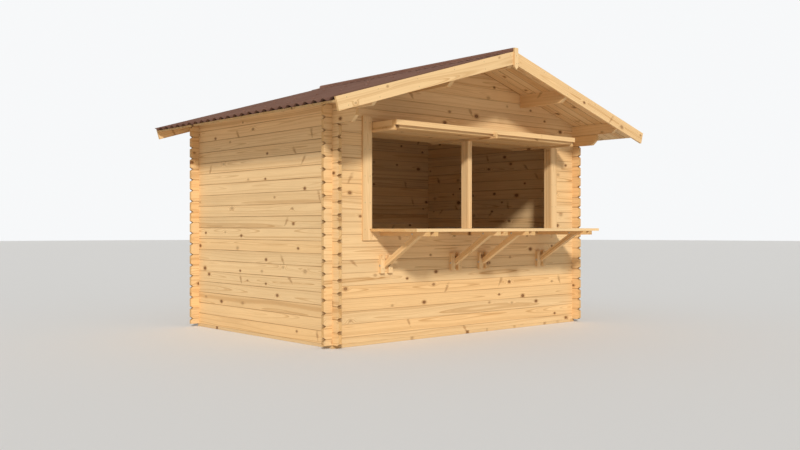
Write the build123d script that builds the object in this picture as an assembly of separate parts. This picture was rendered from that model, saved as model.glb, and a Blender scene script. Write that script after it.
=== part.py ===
from build123d import *
import math
import os

# Wooden market stall: interlocking wall logs, a low gable roof with a deep front overhang,
# a serving opening with a counter on brackets, and two hatch panels lying in the opening's top.
# Millimetres. X runs along the front to the right, Y to the back, Z up from the ground.

# Walls
wall_width = 3416.0
wall_depth = 2400.0
log_cover = 114.0
log_thickness = 34.0
log_edge = 2.5
log_end = 92.0
end_notch_height = 17.0
end_notch_depth = 25.0
side_courses = 17
fit_gap = 0.3
touch_gap = 0.2
saw_overrun = 1.0

# Bearers under the lowest logs
bearer_height = 30.0
bearer_width = 70.0
bearer_inset = 4.0

# Serving opening in the front wall
opening_width = 2540.0
below_courses = 8
opening_courses = 9
jamb_width = 57.0
jamb_depth = 72.0
jamb_groove = 20.0
line_width = 3.0
line_depth = 4.0
sill_height = 27.0
casing_width = 105.0
casing_thickness = 18.0
casing_drop = 53.0
casing_rise = 45.0

# Counter and its brackets
counter_reach = 640.0
counter_lap = 20.0
counter_inside = 20.0
counter_thickness = 26.0
bracket_inset = 166.0
bracket_from_middle = 199.0
arm_width = 48.0
arm_height = 39.0
arm_setback = 4.0
strut_width = 46.0
strut_height = 47.0
strut_reach = 445.0
strut_foot = 711.0
cleat_height = 164.0
cleat_depth = 30.0
cleat_bottom = 644.0

# Hatch panels and the arms that carry them
hatch_clearance = 9.0
hatch_boards = 16.0
hatch_frame = 53.0
hatch_rail = 60.0
hatch_shadow_height = 8.0
hatch_shadow_depth = 36.0
hatch_board_setback = 30.0
hatch_front = 350.0
hatch_inside = 530.0
hatch_side_gap = 4.0
hatch_arm_width = 28.0
hatch_arm_height = 20.0
hatch_stop_height = 34.0
hatch_stop_depth = 28.0

# Roof
roof_rise = 0.297
front_overhang = 616.0
rear_overhang = 100.0
eave_reach = 397.0
board_thickness = 19.0
barge_height = 118.0
barge_thickness = 22.0
barge_above_boards = 26.0
cover_width = 50.0
cover_thickness = 18.0
cover_above = 28.0
rear_cover_above = 4.0
cover_below = 54.0
sheet_overhang = 34.0
sheet_thickness = 3.0
wave_count = 25
wave_height = 27.0
points_per_wave = 8
cap_reach = 150.0
cap_thickness = 4.0
cap_roll = 26.0

# Long roof timbers
purlin_width = 45.0
purlin_height = 132.0
purlin_place = 805.0
ridge_purlin_height = 105.0
timber_toe = 533.0
toe_slope = 0.85
corbel_lip = 328.0
corbel_toe = 267.0

# Back door, closed
door_middle = -700.0
door_width = 780.0
door_courses = 16
door_head = 30.0
door_gap = 5.0
door_board = 22.0
door_ledge_height = 95.0
door_ledge_depth = 22.0
door_ledge_inset = 40.0
door_ledge_rise = 260.0
door_stop_width = 14.0
door_stop_depth = 30.0

# Places worked out from the sizes above
half_width = wall_width / 2
front_reach = max(front_overhang + cover_thickness + touch_gap, counter_reach)
rear_reach = rear_overhang + cover_thickness + touch_gap
total_depth = front_reach + wall_depth + rear_reach
front_face = front_reach - total_depth / 2
back_face = front_face + wall_depth
side_base = bearer_height
front_base = bearer_height + log_cover / 2
opening_bottom = front_base + below_courses * log_cover
opening_top = opening_bottom + opening_courses * log_cover
opening_half = opening_width / 2
sill_top = opening_bottom + sill_height
counter_top = sill_top + counter_thickness
log_stop = opening_half + jamb_width - jamb_groove
corbel_base = side_base + side_courses * log_cover
plate_base = corbel_base + log_cover
plate_top = plate_base + log_cover
pitch = math.atan(roof_rise)
ridge_under = plate_top + roof_rise * (half_width - log_thickness)
roof_front = front_face - front_overhang
roof_rear = back_face + rear_overhang
bay_front = roof_front + barge_thickness
bay_rear = roof_rear - barge_thickness
boards_up = board_thickness / math.cos(pitch)
barge_up = barge_height / math.cos(pitch)
barge_ridge = ridge_under + boards_up + barge_above_boards
barge_foot = half_width + eave_reach
eave_edge = barge_foot + barge_height * math.sin(pitch) / 2
hatch_top = opening_top - hatch_clearance
hatch_underside = hatch_top - hatch_frame - hatch_boards
door_top = front_base + door_courses * log_cover - door_head
door_log_stop = door_width / 2 + jamb_width - jamb_groove


def roof_line(x, ridge=ridge_under):
    """Height of a roof plane at x, for a plane whose ridge is at the given height."""
    return ridge - roof_rise * abs(x)


def block(x0, x1, y0, y1, z0, z1):
    """A squared timber between two corners."""
    middle = ((x0 + x1) / 2, (y0 + y1) / 2, (z0 + z1) / 2)
    return Pos(*middle) * Box(abs(x1 - x0), abs(y1 - y0), abs(z1 - z0))


def plate_xz(points, y0, y1):
    """An upright board: an outline in X and Z, from y0 back to y1."""
    outline = make_face(Polyline(*[(x, 0, z) for x, z in points], close=True))
    return Pos(0, y0, 0) * extrude(outline, amount=y1 - y0, dir=(0, 1, 0))


def plate_yz(points, x0, x1):
    """A timber whose side outline is given in Y and Z, from x0 across to x1."""
    outline = make_face(Polyline(*[(0, y, z) for y, z in points], close=True))
    return Pos(x0, 0, 0) * extrude(outline, amount=x1 - x0, dir=(1, 0, 0))


def solids_of(shapes):
    """All solids of a list of shapes, flat."""
    found = []
    for shape in shapes:
        found.extend(shape.solids())
    return found


def log_blank(start, stop, bottom, top):
    """A log along X about y = 0, with its four long edges bevelled."""
    half = log_thickness / 2
    low = bottom + touch_gap / 2
    high = top - touch_gap / 2
    section = [
        (-half, low + log_edge), (-half + log_edge, low),
        (half - log_edge, low), (half, low + log_edge),
        (half, high - log_edge), (half - log_edge, high),
        (-half + log_edge, high), (-half, high - log_edge),
    ]
    return plate_yz(section, start, stop)


def crossing_cut(place, bottom, top, has_lower, has_upper):
    """The saddles sawn a quarter of a course deep above and below, where a log is crossed."""
    half = log_thickness / 2 + fit_gap
    depth = log_cover / 4 + touch_gap / 2
    cuts = []
    if has_lower:
        cuts.append(block(place - half, place + half, -half, half,
                          bottom - saw_overrun, bottom + depth))
    if has_upper:
        cuts.append(block(place - half, place + half, -half, half,
                          top - depth, top + saw_overrun))
    return cuts


def end_bevels(place, outward, bottom, top, has_lower, has_upper):
    """The two sloping cuts that leave a dark notch between stacked log ends."""
    cuts = []
    half = log_thickness
    inner = place - outward * end_notch_depth
    if has_lower:
        under = bottom - saw_overrun
        low = [(inner, bottom), (place, bottom + end_notch_height), (place, under),
               (inner, under)]
        cuts.append(plate_xz(low, -half, half))
    if has_upper:
        over = top + saw_overrun
        high = [(inner, top), (place, top - end_notch_height), (place, over), (inner, over)]
        cuts.append(plate_xz(high, -half, half))
    return cuts


def wall_log(start, stop, bottom, top, crossings, has_lower=True, has_upper=True):
    """A wall log along X about y = 0, sawn at each crossing and bevelled at each free end."""
    log = log_blank(start, stop, bottom, top)
    cuts = []
    for place in crossings:
        cuts.extend(crossing_cut(place, bottom, top, has_lower, has_upper))
        outward = 1 if place > 0 else -1
        end = place + outward * (log_thickness / 2 + log_end)
        cuts.extend(end_bevels(end, outward, bottom, top, has_lower, has_upper))
    return log - cuts


def stand_along_y(log, x, y):
    """Turn a log made along X so that it runs along Y, and set its middle at x and y."""
    return Pos(x, y, 0) * Rot(0, 0, 90) * log


def course(base, number):
    """Bottom and top of a course counted from a base height."""
    return base + number * log_cover, base + (number + 1) * log_cover


# Corner crossings, measured from the middle of each wall
cross_x = half_width - log_thickness / 2
cross_y = wall_depth / 2 - log_thickness / 2
end_x = half_width + log_end
end_y = wall_depth / 2 + log_end
front_line = front_face + log_thickness / 2
back_line = back_face - log_thickness / 2
middle_y = (front_face + back_face) / 2


def front_or_back_logs(first, last, start, stop, crossings):
    """Logs of the front or back wall from course first to course last, as one wall piece."""
    logs = []
    for number in range(first, last):
        bottom, top = course(front_base, number)
        logs.append(wall_log(start, stop, bottom, top, crossings))
    return logs


def starter_log(start, stop, crossings):
    """The half-height log that starts the front and back walls on their bearers."""
    return wall_log(start, stop, side_base, front_base, crossings, has_lower=False)


def side_wall(side):
    """All full logs of one side wall below the corbel log."""
    logs = []
    for number in range(side_courses):
        bottom, top = course(side_base, number)
        log = wall_log(-end_y, end_y, bottom, top, (-cross_y, cross_y), has_lower=True)
        logs.append(stand_along_y(log, side * cross_x, middle_y))
    return logs


def under_roof(y0, y1):
    """Everything below the roof boarding between two places along the depth."""
    top = ridge_under - touch_gap
    reach = half_width * 2
    outline = [(-reach, 0), (reach, 0), (reach, roof_line(reach, top)), (0, top),
               (-reach, roof_line(reach, top))]
    return plate_xz(outline, y0, y1)


def purlin_outline(x, height, grow=0.0):
    """Section of a purlin at x: a squared timber whose top follows the roof boarding."""
    left = x - purlin_width / 2 - grow
    right = x + purlin_width / 2 + grow
    bottom = roof_line(abs(x) - purlin_width / 2) - height if x else ridge_under - height
    points = [(left, bottom - grow), (right, bottom - grow), (right, roof_line(right) + grow)]
    if x == 0:
        points.append((0, ridge_under + grow))
    points.append((left, roof_line(left) + grow))
    return points, bottom


def gable(line, first):
    """Logs of a gable from the given course up to the ridge, cut to the roof and the purlins."""
    y0 = line - log_thickness
    y1 = line + log_thickness
    roof = under_roof(y0, y1)
    slots = []
    for x, height in ((-purlin_place, purlin_height), (0, ridge_purlin_height),
                      (purlin_place, purlin_height)):
        points, bottom = purlin_outline(x, height, grow=fit_gap)
        slots.append(plate_xz(points, y0, y1))
    pieces = []
    number = first
    while course(front_base, number)[0] < ridge_under:
        bottom, top = course(front_base, number)
        if top < plate_base + log_cover / 2 + saw_overrun:
            log = Pos(0, line, 0) * wall_log(-end_x, end_x, bottom, top, (-cross_x, cross_x))
        else:
            reach = half_width - log_thickness - fit_gap
            log = Pos(0, line, 0) * log_blank(-reach, reach, bottom, top)
        pieces.append((log & roof) - slots)
        number += 1
    return [piece for piece in solids_of(pieces) if piece.volume > log_cover ** 2]


def toe_cut(x, toe, lip, bottom):
    """The sloping cut that takes the lower corner off a timber's front end, from toe out to lip."""
    far = lip - saw_overrun
    under = bottom - saw_overrun
    outline = [(toe, under), (toe, bottom), (far, bottom + toe_slope * (toe - far)), (far, under)]
    return plate_yz(outline, x - log_cover, x + log_cover)


def corbel_log(side):
    """The top side log but one: it steps forward of the wall, its front end cut aslant below."""
    x = side * cross_x
    bottom, top = corbel_base, corbel_base + log_cover
    log = wall_log(-wall_depth / 2 - corbel_lip, end_y, bottom, top, (cross_y,))
    cuts = crossing_cut(-cross_y, bottom, top, True, True)
    log = stand_along_y(log - cuts, x, middle_y)
    return log - toe_cut(x, front_face - corbel_toe, front_face - corbel_lip, bottom)


def wall_plate(side):
    """The top side log, run out to both barge boards, its top sloped and its front end aslant."""
    x = side * cross_x
    length_front = bay_front + fit_gap
    length_rear = bay_rear - fit_gap
    log = log_blank(length_front, length_rear, plate_base, plate_top)
    cuts = []
    for place in (front_line, back_line):
        cuts.extend(crossing_cut(place, plate_base, plate_top, True, False))
    log = stand_along_y(log - cuts, x, 0)
    log = log - toe_cut(x, front_face - timber_toe, length_front, plate_base)
    return log & under_roof(bay_front, bay_rear)


def barge_bottom(x):
    """Height of the lower edge of the barge boards at x."""
    return roof_line(x, barge_ridge - barge_up)


def purlin(x, height):
    """A purlin from barge to barge, its front end cut aslant below."""
    points, bottom = purlin_outline(x, height)
    y0 = bay_front + fit_gap
    y1 = bay_rear - fit_gap
    timber = plate_xz(points, y0, y1) & under_roof(y0, y1)
    return timber - toe_cut(x, front_face - timber_toe, y0, bottom)


def roof_boards(side):
    """One slope of boarding, from the ridge to the eave, between the barge boards."""
    start = touch_gap / 2
    points = [
        (side * start, roof_line(start)),
        (side * eave_edge, roof_line(eave_edge)),
        (side * (eave_edge + boards_up * math.sin(pitch) * math.cos(pitch)),
         roof_line(eave_edge) + board_thickness * math.cos(pitch)),
        (side * start, roof_line(start) + boards_up),
    ]
    return plate_xz(points, bay_front + fit_gap, bay_rear - fit_gap)


def barge(side, y0):
    """One barge board, mitred upright at the ridge and cut square at the eave."""
    start = touch_gap / 2
    run = barge_height * math.sin(pitch)
    points = [
        (side * start, barge_bottom(start)),
        (side * barge_foot, barge_bottom(barge_foot)),
        (side * (barge_foot + run), barge_bottom(barge_foot) + barge_height * math.cos(pitch)),
        (side * start, barge_bottom(start) + barge_up),
    ]
    return plate_xz(points, y0, y0 + barge_thickness)


def apex_cover(y0, above):
    """The short upright board over the barge joint, pointed at its foot."""
    half = cover_width / 2
    low = barge_ridge - barge_up - cover_below
    high = barge_ridge + above
    points = [(-half, low + half), (0, low), (half, low + half), (half, high), (-half, high)]
    return plate_xz(points, y0, y0 + cover_thickness)


def wave_line(length, lift):
    """Points of a sheet's wave, a crest at each end: half a height times one plus the cosine."""
    steps = wave_count * points_per_wave
    points = []
    for number in range(steps + 1):
        turn = 2 * math.pi * number / points_per_wave
        height = wave_height / 2 * (1 + math.cos(turn)) + lift
        points.append((length * number / steps, height))
    return points


def roof_sheet(side):
    """Corrugated sheeting on one slope: waves along the eave, carried up the slope."""
    y0 = bay_front + fit_gap
    length = bay_rear - bay_front - 2 * fit_gap
    lower = wave_line(length, 0)
    upper = wave_line(length, sheet_thickness)
    face = make_face(Polyline(*lower, *reversed(upper), close=True))
    start = sheet_thickness + wave_height
    run = (eave_edge + sheet_overhang) / math.cos(pitch) - start
    down = (side * math.cos(pitch), 0, -math.sin(pitch))
    rest = ridge_under + boards_up + touch_gap
    first = y0 if side > 0 else y0 + length
    slope = Plane(origin=(0, first, rest), x_dir=(0, side, 0), z_dir=down)
    return extrude(slope * (Pos(0, 0, start) * face), amount=run, dir=down)


def ridge_cap():
    """The ridge cap: two wings over the sheets and a round roll along the top."""
    rest = ridge_under + boards_up + touch_gap + (wave_height + sheet_thickness) / math.cos(pitch)
    low = rest + touch_gap
    up = cap_thickness / math.cos(pitch)
    wing = cap_reach * math.cos(pitch)
    points = [(-wing, roof_line(wing, low)), (0, low), (wing, roof_line(wing, low)),
              (wing, roof_line(wing, low) + up), (0, low + up), (-wing, roof_line(wing, low) + up)]
    y0 = bay_front + fit_gap
    y1 = bay_rear - fit_gap
    roll = Pos(0, (y0 + y1) / 2, low + up) * Rot(90, 0, 0) * Cylinder(cap_roll, y1 - y0)
    inside = [(-wing, 0), (wing, 0), (wing, roof_line(wing, low + up)), (0, low + up),
              (-wing, roof_line(wing, low + up))]
    return plate_xz(points, y0, y1) + (roll - plate_xz(inside, y0, y1))


def bearers():
    """Flat bearers under the four walls."""
    outer = half_width - bearer_inset
    inner = outer - bearer_width
    y0 = front_face + bearer_inset
    y1 = back_face - bearer_inset
    z1 = bearer_height - touch_gap / 2
    return {
        "left_bearer": block(-outer, -inner, y0, y1, 0, z1),
        "right_bearer": block(inner, outer, y0, y1, 0, z1),
        "front_bearer": block(-inner + fit_gap, inner - fit_gap, y0, y0 + bearer_width, 0, z1),
        "back_bearer": block(-inner + fit_gap, inner - fit_gap, y1 - bearer_width, y1, 0, z1),
    }


def side_line(x, y, bottom, top):
    """A shallow groove that draws a line down the side of a post, at x and y."""
    return block(x - line_depth, x + line_depth, y, y + line_width,
                 bottom - saw_overrun, top + saw_overrun)


def jamb(inner, outward, wall_line, outer_side, bottom, top):
    """A jamb post whose groove takes the sawn ends of the wall logs."""
    face = wall_line + outer_side * log_thickness / 2
    far = face - outer_side * jamb_depth
    post = block(inner, inner + outward * jamb_width, face, far, bottom, top)
    half = log_thickness / 2 + fit_gap
    outer = inner + outward * jamb_width
    groove = block(outer - outward * jamb_groove, outer + outward * saw_overrun,
                   wall_line - half, wall_line + half, bottom - saw_overrun, top + saw_overrun)
    return post - groove


def counter(side):
    """One of the two shelf boards that meet at the middle, notched round the casing."""
    y0 = front_face - counter_reach
    notch = front_face - casing_thickness - fit_gap
    y1 = front_face + jamb_depth + counter_inside
    x0 = side * touch_gap / 2
    low = sill_top + touch_gap
    shelf = block(x0, side * (opening_half + counter_lap), y0, notch, low, counter_top)
    return shelf + block(x0, side * (opening_half - fit_gap), notch, y1, low, counter_top)


def bracket(x):
    """One counter bracket: paired arms and wall cleats with a diagonal strut between them."""
    inner = strut_width / 2 + touch_gap
    outer = inner + arm_width
    wall = front_face - touch_gap
    arm_back = front_face - casing_thickness - touch_gap
    arm_front = front_face - counter_reach + arm_setback
    top = sill_top
    arms = [block(x + s * inner, x + s * outer, arm_front, arm_back, top - arm_height, top)
            for s in (-1, 1)]
    cleats = [block(x + s * inner, x + s * outer, wall - cleat_depth, wall,
                    cleat_bottom, cleat_bottom + cleat_height) for s in (-1, 1)]
    climb = math.atan2(top - arm_height - strut_foot, strut_reach)
    half_cut = strut_height / math.cos(climb) / 2
    side = [(wall, strut_foot - half_cut), (wall, strut_foot + half_cut)]
    for edge in (half_cut, -half_cut):
        run = (top - strut_foot - edge) / math.tan(climb)
        side.append((front_face - run, top))
    strut = plate_yz(side, x - strut_width / 2, x + strut_width / 2)
    limit = block(x - strut_width, x + strut_width, arm_front, wall, 0, top)
    return arms + cleats + [strut & limit]


def hatch(side):
    """One lifted hatch panel: a framed upper side on boards that are set back below it."""
    y0 = front_face - hatch_front
    y1 = front_face + hatch_inside
    near = side * touch_gap
    far = side * (opening_half - hatch_side_gap)
    z1 = hatch_underside + hatch_boards
    boards = block(near, far, y0 + hatch_board_setback, y1, hatch_underside, z1)
    low = z1 + touch_gap
    inner_near = near + side * hatch_rail
    inner_far = far - side * hatch_rail
    gap = touch_gap
    front_rail = block(near, far, y0, y0 + hatch_rail, low, hatch_top)
    front_rail -= block(near - side * saw_overrun, far + side * saw_overrun, y0 - saw_overrun,
                        y0 + hatch_shadow_depth, z1, low + hatch_shadow_height)
    back_rail = block(near, far, y1 - hatch_rail, y1, low, hatch_top)
    ends = [block(a, b, y0 + hatch_rail + gap, y1 - hatch_rail - gap, low, hatch_top)
            for a, b in ((near, inner_near), (inner_far, far))]
    return [boards, front_rail, back_rail] + ends


def hatch_arm(x, y0):
    """A thin arm under the panels, from y0 back to their rear edge."""
    top = hatch_underside - touch_gap
    return block(x - hatch_arm_width / 2, x + hatch_arm_width / 2, y0,
                 front_face + hatch_inside, top - hatch_arm_height, top)


def middle_hatch_arm():
    """The arm under the middle joint, with an upturned stop before the panels."""
    rail_front = front_face - hatch_front - touch_gap
    top = hatch_underside - touch_gap
    half = hatch_arm_width / 2
    arm = hatch_arm(0, rail_front - hatch_stop_depth)
    return arm + block(-half, half, rail_front - hatch_stop_depth, rail_front,
                       top - hatch_arm_height, top + hatch_stop_height)


def opening_jamb(side):
    """A jamb of the serving opening, with a line down its face behind the wall's thickness."""
    inner = side * opening_half
    bottom = opening_bottom + touch_gap
    top = opening_top - touch_gap
    post = jamb(inner, side, front_line, -1, bottom, top)
    return post - side_line(inner, front_face + log_thickness, bottom, top)


def middle_post():
    """The post between the two bays, with a line down each side behind its front strip."""
    half = jamb_width / 2
    bottom = counter_top + touch_gap
    top = hatch_underside - hatch_arm_height - 2 * touch_gap
    post = block(-half, half, front_face - casing_thickness, front_face + jamb_depth, bottom, top)
    for x in (-half, half):
        for y in (front_face, front_face + log_thickness):
            post -= side_line(x, y, bottom, top)
    return post


def back_door():
    """A ledged door leaf, closed in its frame."""
    half = door_width / 2 - door_gap
    bottom = bearer_height + door_gap
    top = door_top - door_gap
    y1 = back_line + log_thickness / 2
    leaf = block(door_middle - half, door_middle + half, y1 - door_board, y1, bottom, top)
    inner = y1 - door_board
    span = half - door_ledge_inset
    ledges = []
    for middle in (bottom + door_ledge_rise, (bottom + top) / 2, top - door_ledge_rise):
        ledges.append(block(door_middle - span, door_middle + span, inner - door_ledge_depth, inner,
                            middle - door_ledge_height / 2, middle + door_ledge_height / 2))
    return leaf + ledges


def door_frame():
    """Grooved jambs and a head around the back doorway."""
    half = door_width / 2
    foot = bearer_height + touch_gap
    head_high = door_top + door_head - touch_gap
    stop_back = back_face - door_board - touch_gap
    stop_front = stop_back - door_stop_depth
    jambs = []
    for s in (-1, 1):
        inner = door_middle + s * half
        stop = block(inner - s * door_stop_width, inner, stop_front, stop_back, foot, head_high)
        jambs.append(jamb(inner, s, back_line, 1, foot, head_high) + stop)
    reach = half - door_stop_width - fit_gap
    over = half - fit_gap
    head = block(door_middle - reach, door_middle + reach, back_face - jamb_depth, stop_back,
                 door_top - door_stop_width, head_high)
    head += block(door_middle - over, door_middle + over, stop_back, back_face,
                  door_top, head_high)
    return jambs + [head]


nodes = {}

# Front wall
front = Pos(0, front_line, 0)
below = [starter_log(-end_x, end_x, (-cross_x, cross_x))]
below += front_or_back_logs(0, below_courses, -end_x, end_x, (-cross_x, cross_x))
nodes["front_wall_below"] = [front * log for log in below]
opening_last = below_courses + opening_courses
beside = (below_courses, opening_last)
nodes["front_wall_left"] = [front * log for log in front_or_back_logs(
    *beside, -end_x, -log_stop, (-cross_x,))]
nodes["front_wall_right"] = [front * log for log in front_or_back_logs(
    *beside, log_stop, end_x, (cross_x,))]
nodes["front_gable"] = gable(front_line, opening_last)

# Back wall with its doorway
back = Pos(0, back_line, 0)
left_of_door = door_middle - door_log_stop
right_of_door = door_middle + door_log_stop
back_left = [starter_log(-end_x, left_of_door, (-cross_x,))]
back_left += front_or_back_logs(0, door_courses, -end_x, left_of_door, (-cross_x,))
back_right = [starter_log(right_of_door, end_x, (cross_x,))]
back_right += front_or_back_logs(0, door_courses, right_of_door, end_x, (cross_x,))
nodes["back_wall_left"] = [back * log for log in back_left]
nodes["back_wall_right"] = [back * log for log in back_right]
nodes["back_gable"] = gable(back_line, door_courses)
nodes["door_frame"] = door_frame()
nodes["back_door"] = [back_door()]

# Side walls and the timbers on them
for name, side in (("left", -1), ("right", 1)):
    nodes[name + "_wall"] = side_wall(side)
    nodes[name + "_corbel_log"] = [corbel_log(side)]
    nodes[name + "_wall_plate"] = [wall_plate(side)]
    nodes[name + "_purlin"] = [purlin(side * purlin_place, purlin_height)]
    nodes["roof_boards_" + name] = [roof_boards(side)]
    nodes["roof_sheet_" + name] = [roof_sheet(side)]
    nodes["front_barge_" + name] = [barge(side, roof_front)]
    nodes["rear_barge_" + name] = [barge(side, roof_rear - barge_thickness)]
    nodes[name + "_jamb_post"] = [opening_jamb(side)]
    nodes[name + "_casing"] = [block(side * opening_half, side * (opening_half + casing_width),
                                     front_face - casing_thickness, front_face - touch_gap,
                                     opening_bottom - casing_drop, opening_top + casing_rise)]
    nodes["counter_" + name] = [counter(side)]
    nodes["hatch_" + name] = hatch(side)
    arm_place = side * (opening_half - hatch_arm_width / 2 - touch_gap)
    arm_front = front_face - hatch_front + hatch_board_setback
    nodes["hatch_arm_" + name] = [hatch_arm(arm_place, arm_front)]
for name, timber in bearers().items():
    nodes[name] = [timber]
nodes["ridge_purlin"] = [purlin(0, ridge_purlin_height)]
nodes["ridge_cap"] = [ridge_cap()]
nodes["front_apex_cover"] = [apex_cover(roof_front - cover_thickness - touch_gap,
                                       cover_above)]
nodes["rear_apex_cover"] = [apex_cover(roof_rear + touch_gap, rear_cover_above)]

# Posts, sill and casing of the serving opening
nodes["hatch_arm_middle"] = [middle_hatch_arm()]
nodes["middle_post"] = [middle_post()]
nodes["sill_plate"] = [block(-opening_half + fit_gap, opening_half - fit_gap, front_face,
                             front_face + jamb_depth, opening_bottom + touch_gap, sill_top)]
nodes["bottom_casing"] = [block(-opening_half + fit_gap, opening_half - fit_gap,
                                front_face - casing_thickness, front_face - touch_gap,
                                opening_bottom - casing_drop, sill_top)]

# Counter brackets
outer_place = opening_half - bracket_inset
bracket_places = (-outer_place, -bracket_from_middle, bracket_from_middle, outer_place)
for number, place in enumerate(bracket_places, start=1):
    nodes[f"counter_bracket_{number}"] = bracket(place)

os.makedirs("parts", exist_ok=True)
for name, shapes in nodes.items():
    solids = solids_of(shapes)
    shape = solids[0] if len(solids) == 1 else Compound(children=solids)
    export_step(shape, f"parts/{name}.step")
print(len(nodes), "nodes,", sum(len(solids_of(shapes)) for shapes in nodes.values()), "solids")
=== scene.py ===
# %% [markdown]
# # A market stall of stacked wall logs
#
# The stall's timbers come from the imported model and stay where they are. This lesson gives
# them pine that looks sawn from real trees, and makes the pieces whose looks need more than
# flat faces: the corrugated roof, the roof boarding, the door's boards and the small metal.
# All lengths are in metres.

import bpy
import numpy as np
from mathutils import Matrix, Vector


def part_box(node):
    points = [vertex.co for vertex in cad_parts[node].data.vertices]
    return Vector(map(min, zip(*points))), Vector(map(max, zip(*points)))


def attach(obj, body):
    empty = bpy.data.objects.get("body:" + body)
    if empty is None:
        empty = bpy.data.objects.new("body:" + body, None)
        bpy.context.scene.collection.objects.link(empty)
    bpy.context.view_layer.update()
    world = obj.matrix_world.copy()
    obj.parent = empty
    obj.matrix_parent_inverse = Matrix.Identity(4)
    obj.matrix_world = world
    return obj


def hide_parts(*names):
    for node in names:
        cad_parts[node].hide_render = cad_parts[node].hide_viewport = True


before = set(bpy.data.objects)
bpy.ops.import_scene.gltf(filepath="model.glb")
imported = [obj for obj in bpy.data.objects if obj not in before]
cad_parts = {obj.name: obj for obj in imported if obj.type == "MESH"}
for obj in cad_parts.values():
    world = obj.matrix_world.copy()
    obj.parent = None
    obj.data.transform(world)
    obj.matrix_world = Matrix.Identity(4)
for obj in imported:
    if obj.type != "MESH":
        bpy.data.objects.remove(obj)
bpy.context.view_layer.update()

# %% [markdown]
# ## The camera
#
# The camera stands to the left of the serving front, a little over a metre high and almost
# level, so upright timbers stay upright in the picture. Its place, turn and focal length came
# from matching the joints between logs and the edges of the roof. The focal length is counted
# in pixels of a picture that is 800 pixels wide.

# %% Set up the camera
LOG_END = 0.092
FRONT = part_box("left_wall")[0].y + LOG_END
ASIDE, AWAY, EYE_HEIGHT = 6.4214, 6.2282, 1.0793
TILT, TURN = 90.043, -41.472
FOCAL_PIXELS, PICTURE_WIDTH, SENSOR_MM = 889.753, 800, 36.0

camera_data = bpy.data.cameras.new("camera")
camera_data.sensor_width = SENSOR_MM
camera_data.lens = FOCAL_PIXELS / PICTURE_WIDTH * SENSOR_MM
camera = bpy.data.objects.new("camera", camera_data)
camera.location = (-ASIDE, FRONT - AWAY, EYE_HEIGHT)
camera.rotation_euler = np.radians([TILT, 0.0, TURN])
bpy.context.scene.collection.objects.link(camera)
bpy.context.scene.camera = camera
print("front wall face at y =", round(FRONT, 4), "lens", round(camera_data.lens, 2), "mm")

# %% [markdown]
# ## Shader sums as plain Python
#
# Each material below is a sum of distances, waves and noises. Linking dozens of Math nodes by
# hand hides that sum, so one small class wraps a socket and lets Python's own signs add the
# nodes. Any other node comes from its `node` method.

# %% Wrap a shader socket
class Signal:
    """A shader socket that takes part in Python sums: each sign adds one Math node."""

    def __init__(self, tree, socket=None):
        self.tree = tree
        self.socket = socket

    def node(self, kind, settings=None, values=None, out=0):
        """Add a node of a kind, set its settings, then fill its sockets with values or links."""
        made = self.tree.nodes.new("ShaderNode" + kind)
        for key, setting in (settings or {}).items():
            setattr(made, key, setting)
        for key, value in (values or {}).items():
            if isinstance(value, Signal):
                self.tree.links.new(value.socket, made.inputs[key])
            else:
                made.inputs[key].default_value = value
        return Signal(self.tree, made.outputs[out])

    def other(self, out):
        """Another output of the node that this signal comes from."""
        return Signal(self.tree, self.socket.node.outputs[out])

    def math(self, operation, *others):
        """One Math node on this signal and others, in that order."""
        values = dict(enumerate((self, *others)))
        return self.node("Math", {"operation": operation}, values)

    def __add__(self, other): return self.math("ADD", other)
    def __sub__(self, other): return self.math("SUBTRACT", other)
    def __mul__(self, other): return self.math("MULTIPLY", other)
    def __truediv__(self, other): return self.math("DIVIDE", other)
    def __pow__(self, other): return self.math("POWER", other)
    def __radd__(self, other): return self.math("ADD", other)
    def __rmul__(self, other): return self.math("MULTIPLY", other)

    def __rsub__(self, other):
        return self.node("Math", {"operation": "SUBTRACT"}, {0: other, 1: self})

    def __rtruediv__(self, other):
        return self.node("Math", {"operation": "DIVIDE"}, {0: other, 1: self})

    def above(self, edge): return self.math("GREATER_THAN", edge)
    def below(self, edge): return self.math("LESS_THAN", edge)
    def size(self): return self.math("ABSOLUTE")
    def floor(self): return self.math("FLOOR")
    def fract(self): return self.math("FRACT")
    def sine(self): return self.math("SINE")
    def cosine(self): return self.math("COSINE")

    def step(self, low, high):
        """A smooth rise from 0 to 1 while this signal goes from low to high."""
        return self.node("MapRange", {"interpolation_type": "SMOOTHSTEP"},
                         {"Value": self, "From Min": low, "From Max": high})

    def along(self, direction):
        """How far this vector reaches in a direction."""
        return self.node("VectorMath", {"operation": "DOT_PRODUCT"},
                         {0: self, 1: direction}, out="Value")

    def turned(self, axis, angle):
        """This vector turned about one of the three axes, by an angle that may vary."""
        return self.node("VectorRotate", {"rotation_type": axis},
                         {"Vector": self, "Angle": angle})

    def blend(self, first, second):
        """A colour between two others: the first where this signal is 0, the second where 1."""
        return self.node("Mix", {"data_type": "RGBA"}, {0: self, 6: first, 7: second}, out=2)

    def towards(self, other, share):
        """This colour mixed with another by a share from 0 to 1."""
        return share.blend(self, other)

    def scaled(self, factor):
        """This colour made brighter or darker by one factor."""
        return self.node("VectorMath", {"operation": "SCALE"}, {0: self, "Scale": factor})

    def tinted(self, *factors):
        """This colour with its red, green and blue each multiplied by a factor."""
        return self.node("VectorMath", {"operation": "MULTIPLY"}, {0: self, 1: factors})


print("signs that add nodes: + - * / **")

# %% [markdown]
# ## Noise and chance
#
# Wood never repeats, so two sources of variety are needed. Soft noise bends and clouds a
# pattern without a visible start or end. Chance gives every board or cell values of its own,
# the same each time the scene is made, because they depend only on the cell's number. Both
# start from the object's own coordinates, which stay with the piece wherever it is used.

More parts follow.
